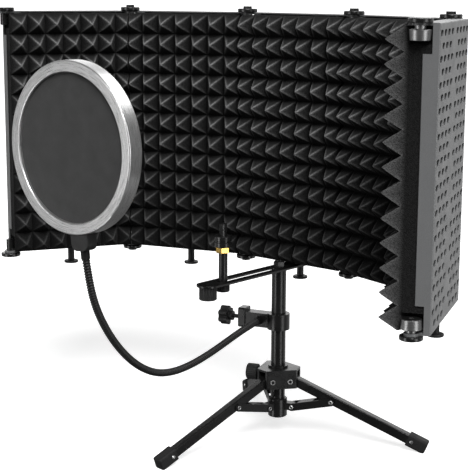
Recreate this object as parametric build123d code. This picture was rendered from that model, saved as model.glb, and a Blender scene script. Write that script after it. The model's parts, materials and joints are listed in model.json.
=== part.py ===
from build123d import *
import os
from math import atan2, cos, degrees, hypot, radians, sin, tan

# Microphone isolation shield: five hinged, foam-lined panels on a folding table tripod,
# with a slotted arm that carries the microphone post and a pop filter on a gooseneck.
# Millimetres, +Z up, floor at Z = 0. The centre panel lies along X with its foam facing -Y.

os.makedirs("parts", exist_ok=True)

# ---------------------------------------------------------------- driving dimensions
POLE_X = 5.9                   # pole axis in the row frame, whose origin is the
POLE_Y = 110.4                 # bottom centre of the whole object's box

# Shield panels: shallow sheet-metal trays, open to the front
PANEL_PITCH = 165.0            # hinge axis to hinge axis
PANEL_HEIGHT = 310.0
PANEL_BOTTOM = 218.0
PANEL_DEPTH = 19.5             # outer face to the plane of the hinge axes
SHEET = 1.2
END_GAP = 0.8                  # hinge axis to the end flange's outer face
CENTRE_PANEL_Y = 33.0          # hinge plane of the centre panel behind the pole axis
BENDS = (43.5, 18.5, 15.0, 53.0)

# Oblong holes of the outer face, in two fields beside a plain centre strip
SLOT_LENGTH = 13.5
SLOT_WIDTH = 6.4
SLOT_PITCH = 19.5
SLOT_ROW_PITCH = 12.6
SLOT_ROWS = 24
CENTRE_STRIP_HALF = 14.0       # first slot centre from the middle of the panel

# Hinges: a hand screw above and below each axis, clamping two lugs on a tapered sleeve
NOTCH_HEIGHT = 30.0
NOTCH_STRIP = 7.5              # what is left of the end flange beside the notch
LUG_RADIUS = 8.0
LUG_SHEET = 1.1
LUG_GAP = 0.2
HINGE_PIN_RADIUS = 3.0
RUNNING_CLEARANCE = 0.05
KNOB_RADIUS = 12.25
KNOB_THICKNESS = 4.5
SLEEVE_TOP_RADIUS = 11.2
SLEEVE_END_RADIUS = 10.4
SLEEVE_LENGTH = 10.8
SLEEVE_SETBACK = 6.4           # panel edge to the sleeve's wide end

# Foam: a base that fills the tray and stands out of it, with rows of pyramids
FOAM_HALF_WIDTH = 80.0
FOAM_END_MARGIN = 3.0
FOAM_BASE = 15.0               # base beyond the hinge plane
PYRAMID_HEIGHT = 21.5
PYRAMID_COLUMNS = 7
PYRAMID_ROWS = 12
END_CUT = 0.5                  # part of a pyramid that is cut off at the right-hand end
WIDE_MITRE = 16.0              # half of the sharpest bend at the centre panel's two axes
LEFT_MITRE = 24.0              # the same at the left-hand axis
RIGHT_MITRE = 28.5             # the same at the right-hand axis
FREE_END = 0.0                 # square cut at the two ends of the shield
MITRE_CLEARANCE = 0.5
HINGE_RELIEF_RADIUS = 13.5

# Feet under the panels
FOOT_POST_RADIUS = 4.25
FOOT_LENGTH = 21.0
FOOT_DISC_RADIUS = 9.25
FOOT_DISC_THICKNESS = 3.2
FOOT_Y = 9.5                   # behind the hinge plane

# Support arm under the centre panel
ARM_THICKNESS = 2.5
ARM_HALF_WIDTH = 13.5
ARM_FRONT_HOLE_Y = -131.5
ARM_REAR_HOLE_Y = CENTRE_PANEL_Y + FOOT_Y
ARM_SLOT_HALF_WIDTH = 4.5
ARM_SLOT_FRONT_Y = -112.0
ARM_SLOT_REAR_Y = -10.0
POST_Y = -105.0

# Pole and folding tripod
POLE_RADIUS = 9.0
POLE_WALL = 1.5
POLE_BOTTOM = 25.0
STUD_RADIUS = 4.0
LEG_HEADINGS = (-98.0, 22.0, 142.0)
LOCK_KNOB_HEADING = 202.0
LEG_SLOPE = 22.0
LEG_PIVOT_R = 20.0
LEG_PIVOT_Z = 75.0
LEG_LENGTH = 178.0
LEG_WIDTH = 11.0
LEG_HEIGHT = 12.0
RIVET_RADIUS = 2.0
RIVET_PLAY = 1.0               # slotted hole in the leg for the brace rivet
BRACE_PIVOT_R = 20.0
BRACE_PIVOT_Z = 40.0
BRACE_ON_LEG = 56.0            # leg pivot to the brace rivet, along the leg
BRACE_BELOW_LEG = 2.4          # brace rivet below the leg's centreline
BRACE_SHEET = 1.2
BRACE_CLEARANCE = 0.35
BRACE_HALF_HEIGHT = 4.8

# Pop filter clamp, gooseneck and hoop
CLAMP_HEADING = 197.0
CLAMP_Z = 149.0
CLAMP_HEIGHT = 22.0
CLAMP_HALF_WIDTH = 8.0
GOOSENECK_SEAT_X = 23.0        # along the clamp, from the pole axis
GOOSENECK_RADIUS = 4.0
HOOP_RADIUS = 90.0
HOOP_OPENING_RADIUS = 77.7
HOOP_DEPTH = 18.0
HOOP_CENTRE = (0.0, -336.0, 397.0)
CLIP_ROLL = 7.0                # the clip sits a little to one side of the hoop's lowest point
CLIP_HEIGHT = 17.0
MESH_THICKNESS = 0.6

PANEL_TOP = PANEL_BOTTOM + PANEL_HEIGHT
ARM_TOP = PANEL_BOTTOM
ARM_UNDERSIDE = ARM_TOP - ARM_THICKNESS


# ---------------------------------------------------------------- helpers
def save(name, *solids):
    """Write one node, moved from the pole's frame into the row's frame."""
    placed = [Pos(POLE_X, POLE_Y, 0) * solid for solid in solids]
    shape = placed[0] if len(placed) == 1 else Compound(children=placed)
    shape.label = name
    export_step(shape, f"parts/{name}.step")


def heading(angle, radius, z=0.0):
    """Point at a radius from the pole axis, in the direction of a heading in degrees."""
    return (radius * cos(radians(angle)), radius * sin(radians(angle)), z)


def rod(radius, bottom, top):
    """Upright cylinder between two heights."""
    return Pos(0, 0, bottom) * Cylinder(radius, top - bottom, align=(Align.CENTER, Align.CENTER, Align.MIN))


def cross_pin(radius, length):
    """Cylinder along Y, centred on the origin."""
    return Rot(90, 0, 0) * Cylinder(radius, length)


def knurled(radius, bottom, top, grooves):
    """Upright hand knob with a grooved rim."""
    body = rod(radius, bottom, top)
    rims = body.edges().filter_by(GeomType.CIRCLE)
    body = chamfer(rims, 0.8)
    groove = rod(0.9, bottom - 1, top + 1)
    return body - [Rot(0, 0, 360 * i / grooves) * Pos(radius + 0.35, 0, 0) * groove for i in range(grooves)]


def smooth_route(points):
    """Straight runs joined by tangent arcs, each arc as large as its two runs allow."""
    corners = [Vector(*p) for p in points]
    edges = []
    radii = []
    start = corners[0]
    for before, corner, after in zip(corners, corners[1:], corners[2:]):
        inward = (corner - before).normalized()
        outward = (after - corner).normalized()
        turn = radians(inward.get_angle(outward))
        setback = 0.45 * min((corner - before).length, (after - corner).length)
        radius = setback / tan(turn / 2)
        entry = corner - inward * setback
        leave = corner + outward * setback
        to_centre = (outward - inward).normalized()
        middle = corner + to_centre * (radius / cos(turn / 2) - radius)
        edges.append(Edge.make_line(start, entry))
        edges.append(Edge.make_three_point_arc(entry, middle, leave))
        radii.append(radius)
        start = leave
    edges.append(Edge.make_line(start, corners[-1]))
    return Wire(edges), radii


# ---------------------------------------------------------------- shield layout
def panel_headings():
    """Direction of each panel, left to right; the centre panel is at 0."""
    left = (BENDS[0] + BENDS[1], BENDS[1])
    right = (-BENDS[2], -BENDS[2] - BENDS[3])
    return left + (0.0,) + right


def hinge_axes():
    """The six hinge axes in plan, left to right."""
    angles = [radians(a) for a in panel_headings()]
    axes = {2: (-PANEL_PITCH / 2, CENTRE_PANEL_Y), 3: (PANEL_PITCH / 2, CENTRE_PANEL_Y)}
    for i in (1, 0):
        x, y = axes[i + 1]
        axes[i] = (x - PANEL_PITCH * cos(angles[i]), y - PANEL_PITCH * sin(angles[i]))
    for i in (4, 5):
        x, y = axes[i - 1]
        axes[i] = (x + PANEL_PITCH * cos(angles[i - 1]), y + PANEL_PITCH * sin(angles[i - 1]))
    return [axes[i] for i in range(6)]


AXES = hinge_axes()
HEADINGS = panel_headings()


def panel_place(k):
    """Frame of panel k (1 to 5): X along the panel, Y out of its back, Z from its lower edge."""
    (x0, y0), (x1, y1) = AXES[k - 1], AXES[k]
    return Pos((x0 + x1) / 2, (y0 + y1) / 2, PANEL_BOTTOM) * Rot(0, 0, HEADINGS[k - 1])


def both_ends(upper):
    """A feature of the upper edge and its mirror image at the lower edge."""
    lower = mirror(upper, about=Plane.XY.offset(PANEL_HEIGHT / 2))
    return [upper, lower]


def tray_box(width, depth, height):
    """Box from the hinge plane back, standing on the panel's lower edge."""
    return Box(width, depth, height, align=(Align.CENTER, Align.MIN, Align.MIN))


def slot_rows():
    """Centres of the oblong holes: four and three to a side in alternate rows."""
    first = (PANEL_HEIGHT - (SLOT_ROWS - 1) * SLOT_ROW_PITCH) / 2
    centres = []
    for row in range(SLOT_ROWS):
        count = 4 if row % 2 else 3
        start = CENTRE_STRIP_HALF + (0 if row % 2 else SLOT_PITCH / 2)
        for i in range(count):
            x = start + i * SLOT_PITCH
            z = first + row * SLOT_ROW_PITCH
            centres += [(x, z), (-x, z)]
    return centres


def flush_lug(end):
    """Round lug in the plane of the upper flange."""
    x = end * PANEL_PITCH / 2
    return Pos(x, 0, 0) * rod(LUG_RADIUS, PANEL_HEIGHT - LUG_SHEET, PANEL_HEIGHT)


def lower_lug(end):
    """Round lug on a strap that is welded under the upper flange."""
    x = end * PANEL_PITCH / 2
    top = PANEL_HEIGHT - SHEET - LUG_GAP / 2
    lug = Pos(x, 0, 0) * rod(LUG_RADIUS, top - 1.3, top)
    strap = Pos(x - end * 10.5, 6.2, top - 1.3) * Box(
        20.0, 10.4, 1.3 + LUG_GAP / 2, align=(Align.CENTER, Align.CENTER, Align.MIN)
    )
    return lug + strap


def back_plate(k):
    """Perforated tray of panel k, with its hinge lugs."""
    width = PANEL_PITCH - 2 * END_GAP
    block = tray_box(width, PANEL_DEPTH, PANEL_HEIGHT)
    block = fillet(block.faces().sort_by(Axis.Y)[-1].edges(), 1.5)
    hollow = tray_box(width - 2 * SHEET, PANEL_DEPTH - SHEET, PANEL_HEIGHT - 2 * SHEET)
    plate = block - Pos(0, 0, SHEET) * hollow
    holes = Sketch() + [Pos(x, z) * SlotOverall(SLOT_LENGTH, SLOT_WIDTH) for x, z in slot_rows()]
    plate -= extrude(Plane.XZ.offset(-PANEL_DEPTH - 1) * holes, 2 * SHEET + 1)
    for end in (-1, 1):
        notch = Pos(end * (width / 2 - SHEET / 2), 0, PANEL_HEIGHT - NOTCH_HEIGHT) * tray_box(
            SHEET + 0.2, PANEL_DEPTH - NOTCH_STRIP, NOTCH_HEIGHT - SHEET
        )
        plate -= both_ends(notch)
    if k > 1:
        swing = Pos(-PANEL_PITCH / 2, 0, 0) * rod(
            LUG_RADIUS + 0.6, PANEL_HEIGHT - SHEET, PANEL_HEIGHT + 1
        )
        plate -= both_ends(swing)
    lugs = both_ends(lower_lug(-1)) + both_ends(flush_lug(1))
    if k == 1:
        lugs += both_ends(flush_lug(-1))
    if k == 5:
        lugs += both_ends(lower_lug(1))
    plate = plate + lugs
    pin_hole = rod(HINGE_PIN_RADIUS + RUNNING_CLEARANCE, -1, PANEL_HEIGHT + 1)
    plate -= [Pos(end * PANEL_PITCH / 2, 0, 0) * pin_hole for end in (-1, 1)]
    plate -= Pos(0, FOOT_Y, 0) * rod(FOOT_POST_RADIUS, -1, SHEET + 1)
    return plate


def zigzag(length, start, teeth):
    """Side profile of the foam along one direction: flat back, pyramid slopes in front."""
    pitch = length / teeth
    back = PANEL_DEPTH - SHEET - 0.3
    points = [(start, back), (start, -FOAM_BASE)]
    for i in range(teeth):
        points.append((start + (i + 0.5) * pitch, -FOAM_BASE - PYRAMID_HEIGHT))
        points.append((start + (i + 1) * pitch, -FOAM_BASE))
    points.append((start + length, back))
    return make_face(Polyline(*points, close=True))


def mitres(k):
    """Mitre angle of the foam at the left and the right end of panel k."""
    at_axes = (FREE_END, LEFT_MITRE, WIDE_MITRE, WIDE_MITRE, RIGHT_MITRE, FREE_END)
    return {-1: at_axes[k - 1], 1: at_axes[k]}


def foam_pad(k):
    """Foam block of panel k: two crossed zigzag prisms leave square pyramids."""
    height = PANEL_HEIGHT - 2 * FOAM_END_MARGIN
    shown = PYRAMID_COLUMNS - (END_CUT if k == 5 else 0)
    uncut = 2 * FOAM_HALF_WIDTH * PYRAMID_COLUMNS / shown
    across = extrude(zigzag(uncut, -FOAM_HALF_WIDTH, PYRAMID_COLUMNS), PANEL_HEIGHT)
    upright = Plane((0, 0, 0), x_dir=(0, 0, 1), z_dir=(-1, 0, 0))
    rows = extrude(upright * zigzag(height, FOAM_END_MARGIN, PYRAMID_ROWS), FOAM_HALF_WIDTH, both=True)
    pad = across & rows
    ends = mitres(k)
    for end, angle in ends.items():
        side = Align.MIN if end > 0 else Align.MAX
        wedge = Box(60, 120, PANEL_HEIGHT + 2, align=(side, Align.CENTER, Align.MIN))
        corner = Pos(end * (PANEL_PITCH / 2 - MITRE_CLEARANCE), 0, -1)
        pad -= corner * Rot(0, 0, -end * angle) * wedge
        relief = Pos(end * PANEL_PITCH / 2, 0, 0) * rod(
            HINGE_RELIEF_RADIUS, PANEL_HEIGHT - NOTCH_HEIGHT - 1, PANEL_HEIGHT
        )
        pad -= both_ends(relief)
    if k == 3:
        pad -= Pos(0, -CENTRE_PANEL_Y, 0) * rod(9.5, 0, 11)
    return pad


def plain_knob():
    """Upper hand screw of the hinge fittings at the shield's two ends: disc and pin."""
    disc = rod(KNOB_RADIUS, PANEL_HEIGHT + 0.1, PANEL_HEIGHT + 0.1 + KNOB_THICKNESS)
    disc = fillet(disc.edges().filter_by(GeomType.CIRCLE), 1.0)
    return disc + rod(HINGE_PIN_RADIUS, PANEL_HEIGHT - 16.0, PANEL_HEIGHT + 1)


def hinge_knob():
    """Upper hand screw of a hinge, with a serrated boss on its disc."""
    boss_base = PANEL_HEIGHT + KNOB_THICKNESS
    boss = rod(4.6, boss_base, boss_base + 3.0)
    tooth = Pos(4.6, 0, 0) * rod(0.8, boss_base, boss_base + 3.0)
    boss += [Rot(0, 0, 30 * i) * tooth for i in range(12)]
    return plain_knob() + boss


def hinge_sleeve():
    """Tapered nut under the lugs of a hinge, at the panel's upper edge."""
    lug_face = PANEL_HEIGHT - SHEET - LUG_GAP / 2 - 1.3
    wide_end = PANEL_HEIGHT - SLEEVE_SETBACK
    neck = rod(5.5, wide_end, lug_face)
    taper = Pos(0, 0, wide_end - SLEEVE_LENGTH) * Cone(
        SLEEVE_END_RADIUS, SLEEVE_TOP_RADIUS, SLEEVE_LENGTH, align=(Align.CENTER, Align.CENTER, Align.MIN)
    )
    bore = rod(HINGE_PIN_RADIUS + RUNNING_CLEARANCE, PANEL_HEIGHT - 17.0, PANEL_HEIGHT)
    return neck + taper - bore


def panel_foot():
    """Foot screw under a panel: a post with a flat disc."""
    post = rod(FOOT_POST_RADIUS, -FOOT_LENGTH + 1, SHEET)
    disc = rod(FOOT_DISC_RADIUS, -FOOT_LENGTH, -FOOT_LENGTH + FOOT_DISC_THICKNESS)
    disc = fillet(disc.edges().filter_by(GeomType.CIRCLE), 1.0)
    return post + disc


def build_shield():
    """Panels, foam, feet and hinges."""
    knobs = [plain_knob()] + 4 * [hinge_knob()] + [plain_knob()]
    sleeve = hinge_sleeve()
    foot = panel_foot()
    for k in range(1, 6):
        place = panel_place(k)
        save(f"back_plate_{k}", place * back_plate(k))
        save(f"foam_pad_{k}", place * foam_pad(k))
        save(f"panel_foot_{k}", place * Pos(0, FOOT_Y, 0) * foot)
        ends = (-1, 1) if k == 5 else (-1,)
        sleeves = [
            place * Pos(end * PANEL_PITCH / 2, 0, 0) * piece for end in ends for piece in both_ends(sleeve)
        ]
        save(f"hinge_sleeves_{k}", *sleeves)
    for i, (x, y) in enumerate(AXES):
        save(f"hinge_knobs_{i}", *[Pos(x, y, PANEL_BOTTOM) * piece for piece in both_ends(knobs[i])])


# ---------------------------------------------------------------- arm and microphone post
def support_arm():
    """Slotted flat bar from the centre panel's foot, over the pole, to the front."""
    middle = (ARM_FRONT_HOLE_Y + ARM_REAR_HOLE_Y) / 2
    length = ARM_REAR_HOLE_Y - ARM_FRONT_HOLE_Y + 2 * ARM_HALF_WIDTH
    outline = Pos(0, middle) * Rot(0, 0, 90) * SlotOverall(length, 2 * ARM_HALF_WIDTH)
    slot_middle = (ARM_SLOT_FRONT_Y + ARM_SLOT_REAR_Y) / 2
    slot_length = ARM_SLOT_REAR_Y - ARM_SLOT_FRONT_Y
    outline -= Pos(0, slot_middle) * Rot(0, 0, 90) * SlotOverall(slot_length, 2 * ARM_SLOT_HALF_WIDTH)
    outline -= Pos(0, ARM_FRONT_HOLE_Y) * Circle(2.5 + RUNNING_CLEARANCE)
    outline -= Circle(STUD_RADIUS + RUNNING_CLEARANCE)
    outline -= Pos(0, ARM_REAR_HOLE_Y) * Circle(FOOT_POST_RADIUS)
    return extrude(Pos(0, 0, ARM_UNDERSIDE) * outline, ARM_THICKNESS)


def build_arm():
    """Arm, its knobs and the microphone post."""
    save("support_arm", support_arm())
    post = rod(5.25, ARM_TOP, 252) + rod(STUD_RADIUS, 207, 262)
    save("mic_post", Pos(0, POST_Y, 0) * post)
    nut = Pos(0, 0, 252) * extrude(RegularPolygon(8.7, 6), 7.0)
    nut = chamfer(nut.edges().filter_by(Plane.XY), 0.5) - rod(STUD_RADIUS, 250, 262)
    save("brass_lock_nut", Pos(0, POST_Y, 0) * nut)
    barrel = rod(10.2, 259, 272.5)
    barrel = fillet(barrel.edges().filter_by(GeomType.CIRCLE), 1.0)
    barrel -= Pos(0, 0, 265.7) * (Cylinder(11, 1.0) - Cylinder(9.7, 1.0))
    stud = rod(4.76, 272, 287)
    stud = chamfer(stud.edges().group_by(Axis.Z)[-1], 1.0)
    adapter = barrel + stud - rod(STUD_RADIUS, 258, 262.5)
    save("thread_adapter", Pos(0, POST_Y, 0) * adapter)
    post_knob = knurled(8.0, 205.2, 215.2, 20) - rod(STUD_RADIUS + RUNNING_CLEARANCE, 206.8, 216)
    save("post_knob", Pos(0, POST_Y, 0) * post_knob)
    arm_knob = knurled(10.5, 199.7, 215.2, 26) + rod(2.5, 215, ARM_TOP)
    save("arm_knob", Pos(0, ARM_FRONT_HOLE_Y, 0) * arm_knob)


# ---------------------------------------------------------------- pole and tripod
def pole():
    """Steel tube with a plug and a threaded stud on top."""
    tube = rod(POLE_RADIUS, POLE_BOTTOM, ARM_UNDERSIDE)
    tube -= rod(POLE_RADIUS - POLE_WALL, POLE_BOTTOM - 1, ARM_UNDERSIDE - 6)
    return tube + rod(STUD_RADIUS, ARM_UNDERSIDE - 1, 227)


def pole_collar():
    """Fixed collar at the pole's foot, with three tongues for the braces."""
    collar = rod(12.0, 26, 49.5)
    collar = chamfer(collar.edges().filter_by(GeomType.CIRCLE), 0.8)
    tongue = Box(BRACE_PIVOT_R + 4.5, 11.0, 9.0, align=(Align.MIN, Align.CENTER, Align.CENTER))
    tongue = fillet(tongue.faces().sort_by(Axis.X)[-1].edges().filter_by(Axis.Y), 4.4)
    tongue -= Pos(BRACE_PIVOT_R, 0, 0) * cross_pin(RIVET_RADIUS, 20)
    collar += [Pos(0, 0, BRACE_PIVOT_Z) * Rot(0, 0, a) * tongue for a in LEG_HEADINGS]
    return collar - rod(POLE_RADIUS, 20, 60)


def tripod_hub():
    """Sliding hub: a six-sided block with three leg slots and a rim on top."""
    corners = []
    for a in sorted(LEG_HEADINGS):
        for side in (-1, 1):
            corners.append(heading(a + side * degrees(atan2(8.6, 27.0)), hypot(27.0, 8.6))[:2])
    block = Pos(0, 0, 66) * extrude(make_face(Polyline(*corners, close=True)), 24)
    block = fillet(block.edges().filter_by(Axis.Z), 1.5)
    block += rod(12.5, 89, 92.5)
    slot = Pos(12.6, 0, 60) * Box(30, LEG_WIDTH + 0.6, 27.5, align=(Align.MIN, Align.CENTER, Align.MIN))
    pin_hole = Pos(LEG_PIVOT_R, 0, LEG_PIVOT_Z) * cross_pin(RIVET_RADIUS, 40)
    block -= [Rot(0, 0, a) * (slot + pin_hole) for a in LEG_HEADINGS]
    lock_hole = Rot(0, 90, 0) * rod(2.5 + RUNNING_CLEARANCE, 0, 40)
    block -= Pos(0, 0, 80) * Rot(0, 0, LOCK_KNOB_HEADING) * lock_hole
    return block - rod(POLE_RADIUS + RUNNING_CLEARANCE, 60, 100)


def hub_lock_knob():
    """Hand knob that clamps the hub on the pole."""
    knob = knurled(10.2, 26, 40, 22) + rod(5.0, 22, 27) + rod(2.5, POLE_RADIUS + 0.2, 27)
    return Pos(0, 0, 80) * Rot(0, 0, LOCK_KNOB_HEADING) * Rot(0, 90, 0) * knob


def leg_place(a):
    """Frame of a leg: origin at its pivot, X down along the leg."""
    return Rot(0, 0, a) * Pos(LEG_PIVOT_R, 0, LEG_PIVOT_Z) * Rot(0, LEG_SLOPE, 0)


def leg_tube():
    """Rectangular tube with a rounded pivot end and a slotted hole for the brace rivet."""
    start = Align.MIN
    body = Box(LEG_LENGTH, LEG_WIDTH, LEG_HEIGHT, align=(start, Align.CENTER, Align.CENTER))
    body = fillet(body.edges().filter_by(Axis.X), 1.8)
    body += cross_pin(LEG_HEIGHT / 2, LEG_WIDTH)
    wall = 1.3
    inside = Box(LEG_LENGTH + 20, LEG_WIDTH - 2 * wall, LEG_HEIGHT - 2 * wall, align=(start, Align.CENTER, Align.CENTER))
    body -= Pos(-LEG_HEIGHT / 2 + wall, 0, 0) * inside
    body -= cross_pin(RIVET_RADIUS + RUNNING_CLEARANCE, 30)
    play = Rot(90, 0, 0) * extrude(SlotOverall(9.0, 2 * (RIVET_RADIUS + RIVET_PLAY)), 20, both=True)
    return body - Pos(BRACE_ON_LEG, 0, -BRACE_BELOW_LEG) * play


def leg_foot(a):
    """Rubber cap over the end of a leg, worn flat where it meets the floor."""
    cap = Box(25, 15, 16.4, align=(Align.MIN, Align.CENTER, Align.CENTER))
    cap = fillet(cap.edges().filter_by(Axis.X), 3.0)
    far_face = cap.faces().sort_by(Axis.X)[-1]
    cap = fillet(far_face.edges(), 2.5)
    socket = Box(20, LEG_WIDTH, LEG_HEIGHT, align=(Align.MIN, Align.CENTER, Align.CENTER))
    socket = fillet(socket.edges().filter_by(Axis.X), 1.8)
    cap = Pos(LEG_LENGTH - 18, 0, 0) * cap - Pos(LEG_LENGTH - 20, 0, 0) * socket
    floor = Pos(0, 0, -50) * Box(600, 600, 100)
    return leg_place(a) * cap - floor


def brace_ends():
    """Brace pivot on the collar and rivet on the leg, as (radius, height) in the leg's plane."""
    slope = radians(LEG_SLOPE)
    r = LEG_PIVOT_R + BRACE_ON_LEG * cos(slope) - BRACE_BELOW_LEG * sin(slope)
    z = LEG_PIVOT_Z - BRACE_ON_LEG * sin(slope) - BRACE_BELOW_LEG * cos(slope)
    return (BRACE_PIVOT_R, BRACE_PIVOT_Z), (r, z)


def brace_place(a):
    """Frame of a brace: origin at the collar pivot, X out towards the leg rivet."""
    (r0, z0), (r1, z1) = brace_ends()
    return Rot(0, 0, a) * Pos(r0, 0, z0) * Rot(0, -degrees(atan2(z1 - z0, r1 - r0)), 0)


def brace_length():
    (r0, z0), (r1, z1) = brace_ends()
    return hypot(r1 - r0, z1 - z0)


def leg_brace():
    """Channel with two cheeks beside the tongue and the leg, and a web over its inner half."""
    length = brace_length()
    inner = LEG_WIDTH / 2 + BRACE_CLEARANCE
    outline = Pos(length / 2, 0) * SlotOverall(length + 2 * BRACE_HALF_HEIGHT, 2 * BRACE_HALF_HEIGHT)
    outline -= Circle(RIVET_RADIUS + RUNNING_CLEARANCE)
    outline -= Pos(length, 0) * Circle(RIVET_RADIUS)
    cheek = extrude(Plane.XZ * outline, BRACE_SHEET)
    cheeks = [Pos(0, -inner, 0) * cheek, Pos(0, inner + BRACE_SHEET, 0) * cheek]
    web = Pos(9, 0, BRACE_HALF_HEIGHT - BRACE_SHEET) * Box(
        20, 2 * inner + 1, BRACE_SHEET, align=(Align.MIN, Align.CENTER, Align.MIN)
    )
    return cheeks[0] + cheeks[1] + web


def rivet(width):
    """Rivet along Y with a low head at each end."""
    head = cross_pin(RIVET_RADIUS + 1.1, 0.9)
    head = fillet(head.edges().filter_by(GeomType.CIRCLE), 0.35)
    shank = cross_pin(RIVET_RADIUS, width)
    offset = width / 2 + 0.45
    return shank + Pos(0, offset, 0) * head + Pos(0, -offset, 0) * head


def build_tripod():
    """Pole, collar, sliding hub, legs, feet and braces."""
    save("pole", pole())
    nut = Pos(0, 0, ARM_TOP + 0.1) * extrude(RegularPolygon(7.4, 6), 7.6)
    nut = chamfer(nut.edges().group_by(Axis.Z)[-1], 0.8) - rod(STUD_RADIUS, 210, 230)
    save("pole_top_nut", nut)
    save("pole_collar", pole_collar())
    save("tripod_hub", tripod_hub())
    save("hub_lock_knob", hub_lock_knob())
    hub_pin = Pos(LEG_PIVOT_R, 0, LEG_PIVOT_Z) * cross_pin(RIVET_RADIUS, 26.4)
    save("hub_pins", *[Rot(0, 0, a) * hub_pin for a in LEG_HEADINGS])
    brace_width = LEG_WIDTH + 2 * (BRACE_CLEARANCE + BRACE_SHEET)
    collar_pin = Pos(BRACE_PIVOT_R, 0, BRACE_PIVOT_Z) * rivet(brace_width + 0.2)
    save("collar_pins", *[Rot(0, 0, a) * collar_pin for a in LEG_HEADINGS])
    tube = leg_tube()
    brace = leg_brace()
    for k, a in enumerate(LEG_HEADINGS, start=1):
        save(f"leg_{k}", leg_place(a) * tube)
        save(f"leg_foot_{k}", leg_foot(a))
        save(f"leg_brace_{k}", brace_place(a) * brace)
        save(f"brace_rivet_{k}", brace_place(a) * Pos(brace_length(), 0, 0) * rivet(brace_width))


# ---------------------------------------------------------------- pop filter
def clamp_place():
    """Frame of the pole clamp: X out towards its hand screw, Y to the gooseneck's side."""
    return Pos(0, 0, CLAMP_Z) * Rot(0, 0, CLAMP_HEADING)


def pop_clamp():
    """Clamp body: a ring round the pole, a neck and an upright jaw plate."""
    ring = Cylinder(14.0, CLAMP_HEIGHT - 2)
    neck = Pos(24, 0, 0) * Box(42, 2 * CLAMP_HALF_WIDTH, CLAMP_HEIGHT - 4)
    jaw = Pos(47, 0, 1) * Box(9, 2 * CLAMP_HALF_WIDTH + 3, CLAMP_HEIGHT + 3)
    jaw = fillet(jaw.edges().filter_by(Axis.X), 3.0)
    body = ring + neck + jaw
    body -= Cylinder(POLE_RADIUS + RUNNING_CLEARANCE, 60)
    body -= Rot(0, 90, 0) * rod(2.5 + RUNNING_CLEARANCE, 5, 70)
    seat = Pos(GOOSENECK_SEAT_X, CLAMP_HALF_WIDTH, 0) * cross_pin(2.5 + RUNNING_CLEARANCE, 9)
    return clamp_place() * (body - seat)


def clamp_knob():
    """Six-lobed hand screw of the clamp."""
    lobe = rod(3.8, 67, 79)
    lobe = Pos(8.4, 0, 0) * chamfer(lobe.edges().group_by(Axis.Z)[-1], 1.2)
    head = rod(8.6, 67, 79) + [Rot(0, 0, 60 * i) * lobe for i in range(6)]
    knob = head + rod(6.0, 62, 68) + rod(2.5, POLE_RADIUS + 0.2, 67)
    return clamp_place() * Rot(0, 90, 0) * knob


# Route of the gooseneck from the clamp, round its low bend, and up to the hoop
GOOSENECK_ROUTE = [
    (-17.3, -22.0, 149.0),
    (-10.3, -45.0, 149.0),
    (-7.5, -72.5, 144.0),
    (-7.0, -100.5, 136.0),
    (-6.5, -129.0, 128.8),
    (-5.0, -157.5, 124.4),
    (-3.0, -186.5, 123.5),
    (-1.0, -215.0, 128.2),
    (1.5, -242.0, 140.5),
    (4.5, -267.0, 158.5),
    (7.5, -289.0, 180.0),
    (10.5, -308.0, 204.0),
    (13.8, -323.5, 229.5),
    (16.4, -333.5, 256.0),
    (14.2, -336.0, 281.7),
]


def gooseneck():
    """Self-supporting steel spiral hose."""
    route, radii = smooth_route(GOOSENECK_ROUTE)
    print("gooseneck length", round(route.length, 1), "bend radii", [round(r) for r in radii])
    profile = Plane(origin=route @ 0, z_dir=route % 0) * Circle(GOOSENECK_RADIUS)
    tube = sweep(profile, path=route)
    print("gooseneck volume over section times length", round(tube.volume / (profile.area * route.length), 4))
    return tube


def hoop_place():
    """Frame of the hoop: origin at its centre, Z along its axis towards the panels."""
    return Pos(*HOOP_CENTRE) * Rot(-90, 0, 0)


def clip_place():
    """Frame of the clip: origin at the hoop's centre, Z outwards through the clip."""
    return Pos(*HOOP_CENTRE) * Rot(0, 180 - CLIP_ROLL, 0)


def gooseneck_ends():
    """Turned fittings: one in the clamp's side, one in the hoop's clip."""
    side = clamp_place() * Pos(GOOSENECK_SEAT_X, 0, 0) * Rot(-90, 0, 0)
    lower = rod(5.0, CLAMP_HALF_WIDTH + 0.1, 16.0) + rod(2.5, CLAMP_HALF_WIDTH - 4, 10)
    clip_end = HOOP_RADIUS + CLIP_HEIGHT
    upper = rod(4.8, clip_end + 0.1, clip_end + 9.0) + rod(2.5, clip_end - 6, clip_end + 2)
    return side * lower, clip_place() * upper


def hoop_rim():
    """Front half of the hoop: a rounded rim with an inner lip that holds the mesh."""
    half = HOOP_DEPTH / 2
    lip = 3.8
    outline = Polyline(
        (HOOP_OPENING_RADIUS, -half),
        (HOOP_RADIUS, -half),
        (HOOP_RADIUS, 0),
        (84.2, 0),
        (84.2, -half + lip),
        (HOOP_OPENING_RADIUS, -half + lip),
        close=True,
    )
    face = make_face(Plane.XZ * outline)
    rim = revolve(face, Axis.Z)
    front_edges = rim.edges().filter_by(GeomType.CIRCLE).group_by(Axis.Z)[0]
    return fillet(front_edges, 1.6)


def mesh_disc():
    """Stretched mesh behind the front lip."""
    front = -HOOP_DEPTH / 2 + 3.8
    return rod(84.0, front, front + MESH_THICKNESS)


def hoop_clip():
    """Block under the hoop, hollowed to the rim, with a socket for the gooseneck."""
    bottom = HOOP_RADIUS + CLIP_HEIGHT
    block = Pos(0, 0, HOOP_RADIUS - 4) * Box(
        25.0, 14.0, CLIP_HEIGHT + 4, align=(Align.CENTER, Align.CENTER, Align.MIN)
    )
    block = fillet(block.edges().filter_by(Axis.Y).group_by(Axis.Z)[-1], 8.0)
    block -= cross_pin(HOOP_RADIUS, 40)
    return clip_place() * (block - rod(2.5 + RUNNING_CLEARANCE, bottom - 7, bottom + 1))


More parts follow.
